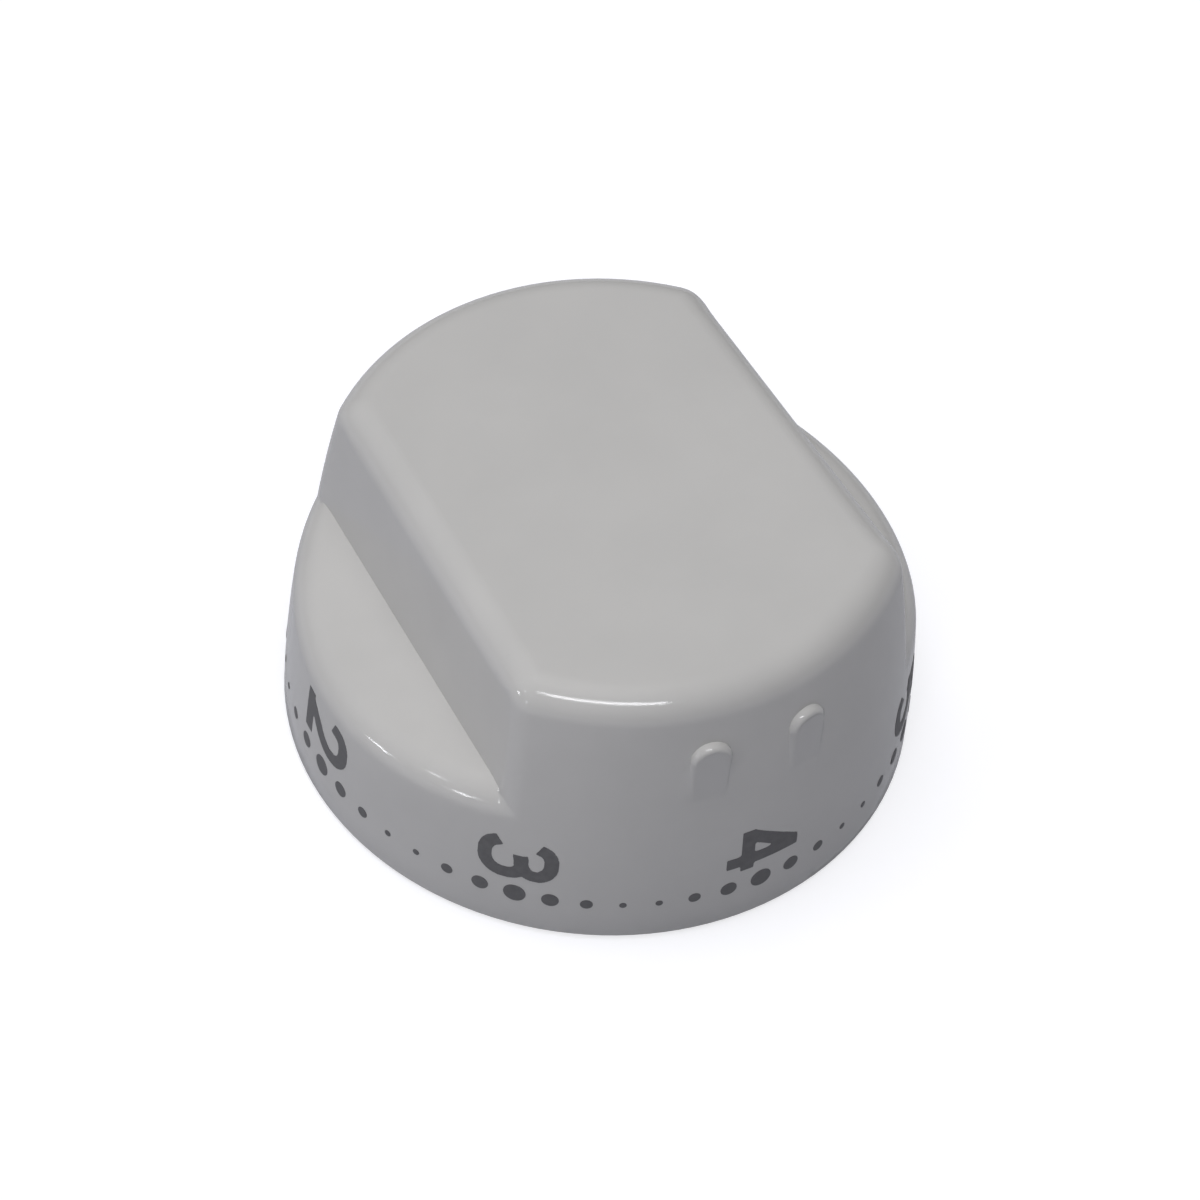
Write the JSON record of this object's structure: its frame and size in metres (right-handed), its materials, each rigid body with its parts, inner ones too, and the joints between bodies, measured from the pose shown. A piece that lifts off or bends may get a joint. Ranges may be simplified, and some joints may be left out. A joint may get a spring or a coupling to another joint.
{
  "type": "control knob",
  "caption": "Round appliance control knob with a raised finger grip, finger recesses, a printed level scale on its skirt and a keyed hub with a spring clip for a D-shaped shaft.",
  "frame": {"origin": "centre of the rim that faces the appliance's panel, on the shaft's axis", "axes": "+Z along the shaft's axis, out of the panel towards the user; the finger grip runs along Y, with its wider, pipped end at -Y"},
  "size_m": [0.042, 0.042, 0.0212],
  "materials": {
    "white_moulding": "gloss, as moulded",
    "hub_plastic": "fine matte, as moulded",
    "spring_steel": "bright rolled strip",
    "scale_ink": "dark grey pad print"
  },
  "bodies": {
    "root": {"knob_shell": "white_moulding", "shaft_hub": "hub_plastic", "spring_clip": "spring_steel"}
  },
  "joints": []
}
